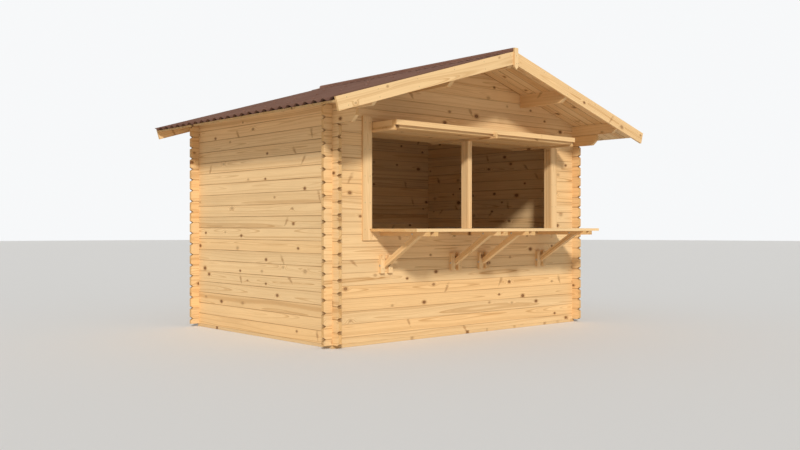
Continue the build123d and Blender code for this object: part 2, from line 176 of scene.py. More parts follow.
# %% Read noise, chance and an empty material
def vector(x, y, z):
    """Three signals or numbers as one vector."""
    source = next(part for part in (x, y, z) if isinstance(part, Signal))
    return source.node("CombineXYZ", {}, {0: x, 1: y, 2: z})


def noise(x, y, z, detail=2.0, rough=0.5):
    """Soft noise about 0, seldom beyond -0.5 or 0.5, at a point given by three signals."""
    place = vector(x, y, z)
    found = place.node("TexNoise", {}, {"Vector": place, "Scale": 1.0, "Detail": detail,
                                        "Roughness": rough})
    return found * 2.0 - 1.0


def chances(x, y, z):
    """Four random values from 0 to 1 that belong to the cell named by three whole numbers."""
    cell = vector(x, y, z)
    value = cell.node("TexWhiteNoise", {"noise_dimensions": "3D"}, {"Vector": cell})
    red = cell.node("SeparateColor", {}, {"Color": value.other("Color")})
    return value, red, red.other("Green"), red.other("Blue")


def new_material(name):
    """An empty material: its main shader and the object's own coordinates and normal."""
    material = bpy.data.materials.new(name)
    material.use_nodes = True
    tree = material.node_tree
    place = Signal(tree).node("TexCoord", out="Object")
    return material, tree.nodes["Principled BSDF"], place, place.other("Normal")


def feed(shader, name, signal):
    """Link a signal to one of the shader's inputs."""
    signal.tree.links.new(signal.socket, shader.inputs[name])


print("noise lies about 0, and chances lie between 0 and 1")

# %% [markdown]
# ## Knots, one board at a time
#
# A knot is a branch that the saw cut across. It sits inside one board and never runs over a
# joint into the next one, so a pattern laid over the whole wall would be wrong. Instead each
# board is cut into cells along its grain, and random values that belong to the cell say
# whether a knot is there, where, and how big. A branch cut lengthways gives a slanting brown
# streak in the same way, from longer cells.

# %% Find the nearest knot of a board
ROUND_CELL, SLANT_CELL = 0.36, 0.85
SMALLEST_KNOT, MORE_KNOT, OVAL = 0.0090, 0.0095, 0.45
LEAF_LENGTH, LEAF_WIDTH, LEAF_TAPER = 0.062, 0.0185, 0.15
FLATTEST, MORE_SLANT = 0.66, 1.82
PULL_REACH, PULL_OVAL = 0.036, 0.16


def knot_cell(g, within, pitch, number, seed, length, share):
    """The knot of a cell: whether it is there (above 0), offsets from it and its random size.

    Cell c = floor(g / length). The knot lies between a quarter and three quarters of the
    cell's length, and in the middle two thirds of the board's height.
    """
    cell = (g / length).floor()
    here, place, height, size = chances(cell, number, seed)
    along = g - (cell + 0.25 + place * 0.5) * length
    across = within - (height - 0.5) * (pitch * 0.66)
    return (here - (1.0 - share)) / share, along, across, size


def round_knot(g, within, pitch, number, seed, share, wobble):
    """A branch cut across: its inside, its rim, two depths of colour, its pull on the rings.

    The knot is an oval, half as long again as it is high. Its radius grows with the square of
    the random size, so that small knots are the usual ones.
    """
    found, along, across, size = knot_cell(g, within, pitch, number, seed, ROUND_CELL, share)
    there = found.above(0.0)
    distance = (along * along * OVAL + across * across) ** 0.5 + wobble
    apart = distance / (size * size * MORE_KNOT + SMALLEST_KNOT)
    inside = there * (1.0 - apart.step(0.75, 1.10))
    rim = there * (1.0 - apart.step(0.95, 2.2))
    reach = (along * along * PULL_OVAL + across * across) ** 0.5
    pull = there * (1.0 - reach.step(0.0, PULL_REACH))
    return inside, rim, apart.step(0.25, 0.95), found.step(0.15, 0.60), pull


def slanting_knot(g, within, pitch, number, seed, share, ragged):
    """A branch cut lengthways: a leaf, wider at one end, at 38 to 142 degrees to the grain."""
    found, along, across, size = knot_cell(g, within, pitch, number, seed, SLANT_CELL, share)
    angle = size * MORE_SLANT + FLATTEST
    down = along * angle.cosine() + across * angle.sine()
    over = across * angle.cosine() - along * angle.sine()
    wide = down * LEAF_TAPER + LEAF_WIDTH
    leaf = ((down / LEAF_LENGTH) ** 2.0 + (over / wide) ** 2.0) ** 0.5 + ragged
    return found.above(0.0) * (1.0 - leaf.step(0.15, 1.20))


print("knot cells:", ROUND_CELL, "m for round ones,", SLANT_CELL, "m for slanting ones")

# %% [markdown]
# ## Pine, worked out as a tree
#
# A board is a slice of a trunk. If the colour comes from rings round a pith line, the long
# faces get their lines and arches and the sawn ends get their arcs from one formula, and both
# meet correctly at every edge. The pith wanders a little along the trunk, which is what turns
# straight lines into arches. Each board is a slice of another tree, so its number moves the
# pith, shifts the rings and changes the tone a little.
#
# Near a knot the rings are pushed aside, so the lines flow round it as they do in real wood.

# %% Make pine for one direction of grain
PALE = (0.830, 0.578, 0.300, 1.0)
LATE = (0.520, 0.285, 0.105, 1.0)
KNOT = (0.105, 0.042, 0.014, 1.0)
KNOT_HEART = (0.270, 0.125, 0.045, 1.0)
KNOT_RIM = (0.430, 0.215, 0.078, 1.0)
STREAK = (0.340, 0.160, 0.055, 1.0)
LOG_COVER = 0.114
YEAR = 0.0046
ROUND_SHARE, SLANT_SHARE = 0.34, 0.30
TREE_STEP, PLANE_STEP = 23.0, 37.0
WOOD_GLOSS = 0.15
RELIEF = 0.0007


def pine(name, grain, broad, thin, pitch=LOG_COVER, base=0.0, layer=1.0, seed=0.0, tone=1.0,
         knots=1.0, joint=0.0, sawn_notch_shade=0.0, turn=None):
    """Pine whose grain runs along `grain`, with boards of height `pitch` stacked along `broad`.

    Board n = floor((broad - base) / pitch), and boards lie in planes a multiple of `layer`
    from 0 along `thin`. Ring distance r from the pith of board n is the root of b squared plus
    t squared, both measured from the wandering pith. Year floor(r / YEAR) has its own strength,
    and inside a year the wood darkens slowly and then turns pale at once. Two long steps, one
    along the grain per tree and one in the number per plane, keep all boards apart.
    """
    material, shader, place, normal = new_material(name)
    if turn:
        place, normal = turn(place, normal)
    g, b, t = (place.along(axis) for axis in (grain, broad, thin))
    row = ((b - base) / pitch).floor()
    within = b - base - (row + 0.5) * pitch
    plane = (t / layer + 0.5).floor()
    number = row + plane * PLANE_STEP
    tree, side, lean, warmth = chances(number, seed, 0.5)
    own = g + tree * TREE_STEP

    wobble = noise(own * 70.0, b * 70.0, t * 70.0) * 0.0022
    inside, rim, edge, solid, pull = round_knot(own, within, pitch, number, seed + 0.2,
                                                ROUND_SHARE * knots, wobble)
    ragged = noise(own * 16.0, b * 90.0, t * 90.0) * 0.9
    streak = slanting_knot(own, within, pitch, number, seed + 0.7, SLANT_SHARE * knots, ragged)

    # Rings round a pith that wanders along the grain
    wander = noise(own * 0.7, number * 1.7, seed, detail=1.0)
    drift = noise(own * 0.5, number * 1.7, seed + 5.0, detail=1.0)
    across = within - (side - 0.5) * 0.075 - wander * 0.040
    depth = t - plane * layer + lean * 0.045 + 0.030 + drift * 0.045
    waver = noise(own * 2.2, b * 11.0, t * 11.0) * 0.0030
    ring = (across * across + depth * depth) ** 0.5 + waver + pull * 0.011
    year = ring / YEAR
    strength = chances(year.floor(), number, seed + 0.9)[0].step(0.35, 1.0)
    grown = year.fract()
    late = grown.step(0.30, 0.86) * (1.0 - grown.step(0.93, 1.0))
    band = noise(ring * 46.0, number * 3.3, seed, detail=3.0, rough=0.62).step(0.02, 0.30)
    fibre = noise(own * 7.0, b * 330.0, t * 330.0, detail=2.0, rough=0.6)
    cloud = noise(own * 1.2, b * 5.0, t * 5.0)

    # Colour: early and late wood, then each board's own tone, then knots
    wood = (late * (strength * 0.52 + 0.08) + band * 0.46).blend(PALE, LATE)
    wood = wood.scaled((1.0 + (tree - 0.5) * 0.08 + cloud * 0.10 + fibre * 0.09) * tone)
    wood = wood.towards(wood.tinted(1.02, 0.94, 0.83), warmth.step(0.35, 1.0) * 0.7)
    wood = wood.towards(STREAK, streak * 0.62)
    wood = wood.towards(KNOT_RIM, rim * (solid * 0.45 + 0.25))
    wood = wood.towards(edge.blend(KNOT_HEART, KNOT), inside * (solid * 0.62 + 0.33))

    # Sawn ends show their rings and drink more light; the notches get painted shade over their
    # rough sawn wood
    facing = normal.along(grain).size()
    end = facing.step(0.80, 0.96)
    wood = wood.towards(wood.tinted(0.95, 0.87, 0.75).scaled(1.0 - late * 0.22), end)
    if sawn_notch_shade:
        # Painted shade: the notches' sloping faces are darkened as if shade fell into the notch,
        # on top of the darker sawn wood.
        slope = facing.step(0.30, 0.42) * (1.0 - facing.step(0.68, 0.80))
        wood = wood.towards(wood.tinted(0.40, 0.31, 0.22), slope * sawn_notch_shade)

    # The dark line of a joint lies on the broad faces and is stronger in some places
    if joint:
        seam = (((b - base) / pitch + 0.5).fract() - 0.5).size() * pitch
        line = (1.0 - seam.step(0.0012, 0.0052)) * normal.along(thin).size().step(0.3, 0.6)
        depth_of_line = noise(g * 1.6, (b / pitch + 0.5).floor() * 2.3, seed) * 1.5 + 1.1
        wood = wood.towards(wood.tinted(0.38, 0.27, 0.17), line * depth_of_line * joint)

    feed(shader, "Base Color", wood)
    feed(shader, "Roughness", 0.60 - late * 0.06 - inside * 0.14 + end * 0.16 + fibre * 0.08)
    height = late * 0.40 + fibre * 0.70 + rim * 0.5 - inside * 0.7 - end * late * 0.9
    feed(shader, "Normal", height.node("Bump", {}, {"Strength": 0.5, "Distance": RELIEF,
                                                    "Height": height}))
    shader.inputs["Specular IOR Level"].default_value = WOOD_GLOSS
    return material


print("a year of growth is", YEAR * 1000, "mm wide")

# %% [markdown]
# ## Walls first
#
# The side walls start a full course on their bearers and the front and back walls start half
# a course higher, which is what lets the logs cross. The material must know both starts, or a
# joint line would be drawn through the middle of a log. The notches sawn into each free log
# end get painted shade, found by the direction in which their faces look, over the darker
# colour of rough sawn wood. Purlins and bearers are single timbers: they get no joint lines,
# and rows a little wider than themselves.

# %% Dress the walls and the long timbers
X, Y, Z = (1.0, 0.0, 0.0), (0.0, 1.0, 0.0), (0.0, 0.0, 1.0)
PURLIN_ROW = 0.140
BEARER_ROW, BEARER_START = 0.080, 0.004


def dress(material, *names):
    """Give every listed timber one material in all its slots."""
    for name in names:
        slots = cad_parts[name].data.materials
        for index in range(len(slots)):
            slots[index] = material


def ply(name, axis):
    """How far a timber's middle lies from 0 along an axis: 0 for X, 1 for Y and 2 for Z."""
    low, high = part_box(name)
    return abs(low[axis] + high[axis]) / 2


SIDE_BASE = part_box("left_wall")[0].z
FRONT_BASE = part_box("front_wall_left")[0].z
SIDE_PLY = ply("right_wall", 0)
dress(pine("side_log_pine", Y, Z, X, base=SIDE_BASE, layer=SIDE_PLY, seed=1.0, joint=0.55,
           sawn_notch_shade=0.8), "left_wall", "right_wall")
dress(pine("side_top_pine", Y, Z, X, base=SIDE_BASE, layer=SIDE_PLY, seed=1.0, joint=0.55),
      "left_corbel_log", "right_corbel_log", "left_wall_plate", "right_wall_plate")
dress(pine("front_log_pine", X, Z, Y, base=FRONT_BASE, layer=ply("front_wall_left", 1),
           seed=2.0, joint=0.36, sawn_notch_shade=0.8),
      "front_wall_below", "front_wall_left", "front_wall_right", "front_gable")
dress(pine("back_log_pine", X, Z, Y, base=FRONT_BASE, layer=ply("back_wall_left", 1),
           seed=3.0, joint=0.42, sawn_notch_shade=0.8), "back_wall_left", "back_wall_right", "back_gable")
dress(pine("purlin_pine", Y, Z, X, pitch=PURLIN_ROW, base=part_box("right_purlin")[0].z,
           layer=ply("right_purlin", 0), seed=4.0, tone=0.97),
      "left_purlin", "right_purlin", "ridge_purlin")
for grain_name, grain, broad, seed, bearers in (
        ("side", Y, X, 4.5, ("left_bearer", "right_bearer")),
        ("cross", X, Y, 5.0, ("front_bearer", "back_bearer"))):
    dress(pine(grain_name + "_bearer_pine", grain, broad, Z, pitch=BEARER_ROW,
               base=BEARER_START, seed=seed, tone=0.93), *bearers)
print("side courses start at", round(SIDE_BASE, 4), "and front courses at", round(FRONT_BASE, 4))

# %% [markdown]
# ## Boards that run another way
#
# Barge boards climb with the roof, and posts and casings stand upright. The same pine serves
# for them all, because only the three directions change. A timber with nothing beside it gets
# a material of its own, whose one board is as high as the timber's own box.

# %% Dress the barge boards, the posts, the casings and the counter
RISE = 0.297
PITCH = float(np.arctan(RISE))
COS, SIN = float(np.cos(PITCH)), float(np.sin(PITCH))
BARGE = 0.118
COUNTER_BOARD = 0.1464


def slope_axes(side):
    """Directions along a roof slope and square to it, for side -1 (left) or 1 (right)."""
    return (COS, 0.0, -side * SIN), (side * SIN, 0.0, COS)


def single(name, grain, broad, thin, seed, **more):
    """Pine for one squared timber: its own box gives the board's height, start and plane."""
    low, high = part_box(name)
    axis, flat = broad.index(1.0), thin.index(1.0)
    dress(pine(name + "_pine", grain, broad, thin, pitch=high[axis] - low[axis],
               base=low[axis], layer=max(ply(name, flat), 0.05), seed=seed, **more), name)


barge_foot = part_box("front_barge_left")[1].z * COS - BARGE
for side_name, side, seed in (("left", -1.0, 6.0), ("right", 1.0, 7.0)):
    dress(pine(side_name + "_barge_pine", *slope_axes(side), Y, pitch=BARGE, base=barge_foot,
               layer=ply("front_barge_left", 1), seed=seed, tone=1.03),
          "front_barge_" + side_name, "rear_barge_" + side_name)
for number, name in enumerate(("left_jamb_post", "right_jamb_post", "middle_post", "left_casing",
                               "right_casing", "front_apex_cover", "rear_apex_cover")):
    single(name, Z, X, Y, seed=8.0 + 0.3 * number, tone=1.02, knots=0.7)
single("sill_plate", X, Y, Z, seed=11.3, knots=0.6)
single("bottom_casing", X, Z, Y, seed=11.6, tone=1.02, knots=0.7)
dress(pine("counter_pine", X, Y, Z, pitch=COUNTER_BOARD, base=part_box("counter_left")[0].y,
           layer=ply("counter_left", 2), seed=12.0, joint=0.8), "counter_left", "counter_right")
print("the roof climbs", round(float(np.degrees(PITCH)), 1), "degrees")

# %% [markdown]
# ## Grain that turns inside one timber
#
# Some pieces of the model hold boards of several directions. A lifted hatch panel has two end
# rails that run from front to back, a bracket has level arms, upright cleats and a slanting
# strut, and the door's frame has a level head on upright jambs. They could be cut into single
# boards, but then the model's pieces would change. Instead the point and its normal are
# turned first, by an angle that depends on the place, and the rings are read after that.

# %% Dress the hatch
HATCH_BOARD = 0.1100
RAIL_REACH, RAIL_LENGTH, PANEL_HEIGHT = 0.061, 0.0601, 0.0161
HATCH_LOW, HATCH_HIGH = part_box("hatch_right")


def turn_rail(place, normal):
    """Let the grain of a hatch panel's two end rails run from front to back."""
    x, y, z = (place.along(axis) for axis in (X, Y, Z))
    near_end = x.size().below(RAIL_REACH) + x.size().above(HATCH_HIGH.x - RAIL_REACH)
    between = y.above(HATCH_LOW.y + RAIL_LENGTH) * y.below(HATCH_HIGH.y - RAIL_LENGTH)
    angle = near_end * between * z.above(HATCH_LOW.z + PANEL_HEIGHT) * (np.pi / 2)
    return place.turned("Z_AXIS", angle), normal.turned("Z_AXIS", angle)


dress(pine("hatch_pine", X, Y, Z, pitch=HATCH_BOARD, base=HATCH_LOW.y,
           layer=ply("hatch_left", 2), seed=12.3, knots=0.6, turn=turn_rail),
      "hatch_left", "hatch_right")
for number, name in enumerate(("hatch_arm_left", "hatch_arm_middle", "hatch_arm_right")):
    single(name, Y, Z, X, seed=12.6 + 0.3 * number, knots=0.4)
print("hatch panels lie at z =", round(HATCH_LOW.z, 3), "to", round(HATCH_HIGH.z, 3))

# %% [markdown]
# ## One pattern for four brackets
#
# All brackets are alike, so the pattern is worked out for one. Distances from the stall's
# middle, and then from the line between the inner and the outer bracket, fold all four onto
# that one. A step of three rows per bracket then gives each of them boards of its own.

# %% Dress the brackets
INNER, OUTER = ply("counter_bracket_3", 0), ply("counter_bracket_4", 0)
ARM_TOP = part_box("counter_bracket_1")[1].z
ARM_HEIGHT, STRUT_FOOT, STRUT_REACH = 0.039, 0.711, 0.445
CLIMB = float(np.arctan2(ARM_TOP - ARM_HEIGHT - STRUT_FOOT, STRUT_REACH))
STRUT_HALF, CLEATS_END = 0.0231, 0.9
ARM_ROW, ARM_LAYER = 0.0485, 0.33


def turn_bracket(place, normal):
    """Fold four brackets onto one, then turn its strut by the climb and its cleats upright."""
    x, y, z = (place.along(axis) for axis in (X, Y, Z))
    local = (x.size() - (INNER + OUTER) / 2).size() - (OUTER - INNER) / 2
    strut = local.size().below(STRUT_HALF)
    cleat = (1.0 - strut) * z.below(CLEATS_END)
    which = x.above(0.0) + x.size().above((INNER + OUTER) / 2) * 2.0
    angle = strut * CLIMB + cleat * (np.pi / 2)
    folded = vector(local + which * (3 * ARM_ROW), y, z)
    return folded.turned("X_AXIS", angle), normal.turned("X_AXIS", angle)


dress(pine("bracket_pine", Y, X, Z, pitch=ARM_ROW, base=-ARM_ROW / 2, layer=ARM_LAYER,
           seed=13.0, knots=0.5, turn=turn_bracket),
      *[f"counter_bracket_{number}" for number in range(1, 5)])
print("brackets at", round(INNER, 4), "and", round(OUTER, 4), "m from the middle")

# %% [markdown]
# ## The door's frame
#
# Two upright jambs carry a level head. Above the door's top edge the grain is turned by a
# quarter turn, and below it stays upright.

# %% Dress the door's frame
DOOR_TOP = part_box("back_door")[1].z
FRAME_ROW = 0.3


def turn_head(place, normal):
    """Lay the grain of the door's head level and leave its jambs upright."""
    angle = place.along(Z).above(DOOR_TOP) * (np.pi / 2)
    return place.turned("Y_AXIS", angle), normal.turned("Y_AXIS", angle)


dress(pine("door_frame_pine", Z, X, Y, pitch=FRAME_ROW, layer=ply("door_frame", 1), seed=14.0,
           knots=0.5, turn=turn_head), "door_frame")
print("the door's head starts at z =", round(DOOR_TOP, 3))

# %% [markdown]
# ## Solids between two skins
#
# Corrugated sheet, grooved boarding and the door's leaf are all thin things with one shaped
# face. Each is made as two grids of points, a lower and an upper skin with the same number
# of rows and columns, joined round the rim. The grids are whole arrays, so a shape is one
# formula in u and v.

# %% Build closed meshes from two grids of points
def link_piece(name, points, faces, material, slot=None, smooth=None, instead_of=None):
    """Make a mesh object at the origin, let it ride on the stall and give it its material. The
    slot argument is not used.
    """
    mesh = bpy.data.meshes.new(name)
    mesh.from_pydata(points, [], faces)
    mesh.materials.append(material)
    if smooth is not None:
        mesh.polygons.foreach_set("use_smooth", np.ones(len(mesh.polygons), bool))
        mesh.set_sharp_from_angle(angle=np.radians(smooth))
    mesh.update()
    piece = bpy.data.objects.new(name, mesh)
    bpy.context.scene.collection.objects.link(piece)
    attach(piece, "root")
    if instead_of:
        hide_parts(instead_of)
    return piece


def together(x, y, z):
    """Points from numbers and arrays that fit each other, such as a row and a column."""
    return np.stack(np.broadcast_arrays(x, y, z), -1)


def between_skins(low, high):
    """Points and faces of the solid between grids low and high, each rows by columns by 3.

    Point (i, j) of the lower skin has number i * columns + j, the upper skin follows it, and
    each border of the grid gets one strip of quads from skin to skin. The sum of a . (b x c)
    over the solid's triangles is six times its volume. The faces are turned round if that
    comes out negative.
    """
    rows, columns = low.shape[:2]
    number = np.arange(rows * columns).reshape(rows, columns)
    top = number + rows * columns

    def quads(grid):
        return np.stack([grid[:-1, :-1], grid[1:, :-1], grid[1:, 1:], grid[:-1, 1:]],
                        -1).reshape(-1, 4)

    def strip(line, line_above):
        return np.stack([line[:-1], line[1:], line_above[1:], line_above[:-1]], -1)

    rim = [strip(number[:, 0], top[:, 0]), strip(number[-1], top[-1]),
           strip(number[::-1, -1], top[::-1, -1]), strip(number[0, ::-1], top[0, ::-1])]
    faces = np.concatenate([quads(number)[:, ::-1], quads(top), *rim])
    points = np.concatenate([low.reshape(-1, 3), high.reshape(-1, 3)])
    a, b, c, d = (points[faces[:, corner]] for corner in range(4))
    volume = np.einsum("ij,ij->", a, np.cross(b, c)) + np.einsum("ij,ij->", a, np.cross(c, d))
    return points, (faces if volume > 0 else faces[:, ::-1]).tolist()


print("solids between skins ready")

# %% [markdown]
# ## Roof boarding
#
# The overhang shows the boarding from below: narrow tongued boards laid from ridge to eave,
# each with a small bevel on its long edges, so that two boards meet in a shallow V. A groove
# drawn in the material would vanish at the boards' ends, so the V is in the shape: the
# profile of one board is repeated across the roof and carried down the slope.

# %% Make the roof boarding
board_low, board_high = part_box("roof_boards_right")
BOARD = 0.019
BOARD_COUNT = 32
GROOVE = 0.004
RIDGE = board_high.z - BOARD / COS
SLOPE_LENGTH = (board_high.x - BOARD * SIN) / COS
WIDE = (board_high.y - board_low.y) / BOARD_COUNT


def on_slope(side, s, y, h):
    """A point of a roof slope: s down the slope from the ridge, y along it and h above it.

    x = side * (s * cos + h * sin), z = ridge - s * sin + h * cos, with the roof's pitch.
    """
    return together(side * (s * COS + h * SIN), y, RIDGE - s * SIN + h * COS)


def grooved(low, high, count, groove):
    """Profile of boards side by side: places across and groove depths at them."""
    wide = (high - low) / count
    places = low + (wide * np.arange(count)[:, None] + [0.0, groove, wide - groove]).ravel()
    depths = np.tile([groove, 0.0, 0.0], count)
    return np.append(places, high), np.append(depths, groove)


def boarding(side, material, name, node):
    """Grooved boards: h is the groove's depth below and the board's thickness above.

    At the ridge, s = 0, both skins start at -h * tan(pitch), so that the slopes meet upright.
    """
    y, depth = grooved(board_low.y, board_high.y, BOARD_COUNT, GROOVE)
    s = np.array([0.0, SLOPE_LENGTH])[:, None]
    at_ridge = s == 0
    low = on_slope(side, s - depth * SIN / COS * at_ridge, y, depth)
    high = on_slope(side, s - BOARD * SIN / COS * at_ridge, y, np.full_like(depth, BOARD))
    return link_piece(name, *between_skins(low, high), material, "roof_board", instead_of=node)


for side_name, side, seed in (("left", -1, 15.0), ("right", 1, 16.0)):
    along, square = slope_axes(side)
    boarding(side, pine(side_name + "_boarding_pine", along, Y, square, pitch=WIDE,
                        base=board_low.y, layer=RIDGE * COS + BOARD / 2, seed=seed, tone=0.97,
                        joint=0.8), "boarding_" + side_name, "roof_boards_" + side_name)
print("boards per slope:", BOARD_COUNT, "width", round(WIDE * 1000, 1), "mm")

# %% [markdown]
# ## The sheet's finish
#
# The covering is a matt, brown-red fibre sheet. It has no shine, only a fine speckle and
# some cloudy fading. On top of that, painted light and shade follow the wave: the crests are
# painted paler and the troughs darker. The painted shade reads the same wave as the shape
# does, so that both always agree.

# %% Make the sheet's finish
WAVE_COUNT = 25
SHEET_DARK = (0.113, 0.053, 0.037, 1.0)
SHEET_PALE = (0.217, 0.117, 0.083, 1.0)
# Painted light: flat pieces are painted a third paler because they have no flanks that catch the
# light.
FLAT_PAINTED_LIGHT = 1.32
SHEET_GLOSS = 0.08
sheet_low, sheet_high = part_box("roof_sheet_right")


def fibre_sheet(name, waved=True):
    """Brown-red fibre sheet: a base colour, speckle, cloudy fading and a rough matt face.

    On waved sheet the crests, at cos(2 pi n v) = 1, are painted paler than the troughs, as
    painted light and shade. Flat pieces are painted a third paler, as painted light, because
    they have no flanks that catch the light.
    """
    material, shader, place, _ = new_material(name)
    x, y, z = (place.along(axis) for axis in (X, Y, Z))
    speckle = noise(x * 900.0, y * 900.0, z * 900.0, detail=1.0)
    cloud = noise(x * 2.2, y * 2.2, z * 2.2, detail=3.0)
    runs = noise(x * 1.2, y * 26.0, 0.0, detail=2.0)
    turns = 2.0 * np.pi * WAVE_COUNT / (sheet_high.y - sheet_low.y)
    # Painted light and shade: on waved sheet the crests are painted paler and the troughs darker,
    # following the wave; the cloud adds real fading.
    crest = ((y - sheet_low.y) * turns).cosine() * 0.5 + 0.5 if waved else cloud * 0.5 + 0.8
    wave_shade_and_fading = (crest * 0.45 + cloud * 0.35 + 0.25).step(0.0, 1.2).blend(SHEET_DARK, SHEET_PALE)
    # Flat pieces get painted light: their colour is made a third paler.
    shade = (1.0 + speckle * 0.10 + runs * 0.05) * (1.0 if waved else FLAT_PAINTED_LIGHT)
    feed(shader, "Base Color", wave_shade_and_fading.scaled(shade))
    feed(shader, "Roughness", 0.80 + speckle * 0.08)
    feed(shader, "Normal", speckle.node("Bump", {}, {"Strength": 0.35, "Distance": 0.0006,
                                                     "Height": speckle}))
    shader.inputs["Specular IOR Level"].default_value = SHEET_GLOSS
    return material


sheet_finish = fibre_sheet("fibre_sheet")
dress(fibre_sheet("ridge_finish", waved=False), "ridge_cap")
print("finishes:", sheet_finish.name, "for the waves and one for the ridge cap")

# %% [markdown]
# ## Corrugated sheet
#
# A sheet could be a plane that a modifier thickens, but its wave is one cosine along the
# roof, so both faces are written down at once. Fourteen points per wave keep it round where
# the eave shows the wave against the sky.

# %% Make the waves
SHEET, WAVE, REST_GAP = 0.003, 0.027, 0.0002
POINTS_PER_WAVE = 14


def waves(side, name, node):
    """Sheet of waves: h = rest + wave / 2 * (1 + cos(2 pi n v)), v from 0 to 1 along the roof.

    It starts where both slopes' sheets clear each other and ends at the model's own eave.
    """
    v = np.linspace(0.0, 1.0, WAVE_COUNT * POINTS_PER_WAVE + 1)
    y = sheet_low.y + v * (sheet_high.y - sheet_low.y)
    rest = BOARD + REST_GAP * COS
    lift = rest + WAVE / 2 * (1.0 + np.cos(2.0 * np.pi * WAVE_COUNT * v))
    start = SHEET + WAVE
    stop = (sheet_high.x - (rest + WAVE + SHEET) * SIN) / COS
    s = np.linspace(start, stop, 3)[:, None]
    skins = between_skins(on_slope(side, s, y, lift), on_slope(side, s, y, lift + SHEET))
    return link_piece(name, *skins, sheet_finish, "roof_sheet", smooth=40.0, instead_of=node)


waves(-1, "waves_left", "roof_sheet_left")
waves(1, "waves_right", "roof_sheet_right")
print("waves per slope:", WAVE_COUNT)

# %% [markdown]
# ## Bars and other lofts
#
# Ledges, hinge plates, knuckles and a bent handle have one thing in common: a closed ring of
# points is carried along a line and may change on its way. One function joins such rings, and
# takes many pieces at once. A squared bar with bevelled edges is its first use.

# %% Join rings of points
def loft(rings):
    """Closed skins through rings of points, given as pieces by rings by sides by 3.

    The points of a ring go round to the right of the way from the first ring to the last, so
    that every quad looks outwards. One face closes each end.
    """
    pieces, count, sides = rings.shape[:3]
    number = np.arange(pieces * count * sides).reshape(pieces, count, sides)
    ahead = np.roll(number, -1, axis=2)
    quads = np.stack([number[:, :-1], ahead[:, :-1], ahead[:, 1:], number[:, 1:]], -1)
    ends = np.concatenate([number[:, 0, ::-1], number[:, -1]])
    return rings.reshape(-1, 3), quads.reshape(-1, 4).tolist() + ends.tolist()


def join(*parts):
    """Several sets of points and faces as one."""
    points, faces, count = [], [], 0
    for some_points, some_faces in parts:
        points.append(some_points)
        faces += [[corner + count for corner in face] for face in some_faces]
        count += len(some_points)
    return np.concatenate(points), faces


def bars(lows, highs, axis, bevel):
    """Squared bars between corner pairs, all long edges and both ends bevelled.

    Along the axis there are four rings, the outer two inset by the bevel. A ring is a
    rectangle whose four corners are cut by the bevel.
    """
    lows, highs = np.atleast_2d(lows).astype(float), np.atleast_2d(highs).astype(float)
    p, q = (axis + 1) % 3, (axis + 2) % 3
    inset = np.array([bevel, 0.0, 0.0, bevel])
    corner_p = np.array([-1, 1, 1, 1, 1, -1, -1, -1])
    corner_q = np.array([-1, -1, -1, 1, 1, 1, 1, -1])
    cut_p = np.array([1, -1, 0, 0, -1, 1, 0, 0]) * bevel
    cut_q = np.array([0, 0, 1, -1, 0, 0, -1, 1]) * bevel
    middles, halves = (lows + highs) / 2, (highs - lows) / 2
    rings = np.zeros((len(lows), 4, 8, 3))
    travel = np.stack([lows[:, axis], lows[:, axis] + bevel, highs[:, axis] - bevel,
                       highs[:, axis]], -1)
    rings[..., axis] = travel[:, :, None]
    for side, corner, cut in ((p, corner_p, cut_p), (q, corner_q, cut_q)):
        reach = halves[:, side, None] - inset
        rings[..., side] = middles[:, side, None, None] + reach[..., None] * corner + cut
    return loft(rings)


print("lofts and bars ready")

# %% [markdown]
# ## The door at the back
#
# The way in is a plain ledged door: upright boards with a small V between them, held by three
# level ledges inside. Its boards are one grooved skin like the roof boarding, with half as
# deep a V inside, and the ledges are bevelled bars in the same mesh.

# %% Make the door's boards and ledges
door_low, door_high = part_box("back_door")
LEAF = 0.022
INSIDE = door_high.y - LEAF
DOOR_BOARDS = 8
PLANK = (door_high.x - door_low.x) / DOOR_BOARDS
LEDGE_RISE, LEDGE_INSET, LEDGE_HALF = 0.260, 0.035, 0.0475
BEHIND_LEAF = 0.0006


def turn_ledge(place, normal):
    """Lay the ledges' grain level: whatever stands just inside the leaf's inner face."""
    angle = place.along(Y).below(INSIDE - BEHIND_LEAF) * (np.pi / 2)
    return place.turned("Y_AXIS", angle), normal.turned("Y_AXIS", angle)


across, depth = grooved(door_low.x, door_high.x, DOOR_BOARDS, GROOVE)
z = np.array([[door_low.z], [door_high.z]])
outer = together(across, door_high.y - depth, z)
inner = together(across, INSIDE + depth * 0.5, z)
ledge_z = np.array([door_low.z + LEDGE_RISE, (door_low.z + door_high.z) / 2,
                    door_high.z - LEDGE_RISE])
ledge_low = together(door_low.x + LEDGE_INSET, door_low.y, ledge_z - LEDGE_HALF)
ledge_high = together(door_high.x - LEDGE_INSET, INSIDE, ledge_z + LEDGE_HALF)
door_pine = pine("door_pine", Z, X, Y, pitch=PLANK, base=door_low.x, layer=door_high.y - LEAF / 2,
                 seed=17.0, knots=0.8, joint=0.5, turn=turn_ledge)
link_piece("door_leaf", *join(between_skins(inner, outer),
                              bars(ledge_low, ledge_high, 0, GROOVE)),
           door_pine, "door", instead_of="back_door")
print("door boards:", DOOR_BOARDS, "width", round(PLANK * 1000, 1), "mm")

# %% [markdown]
# ## Zinc
#
# Screws, bolts and hinges are zinc-plated steel. New zinc is bright and even, but after a
# season it turns cloudy, so tone and roughness change together in small clouds. Wood screws
# are often plated yellow and hardly stand out from the pine.

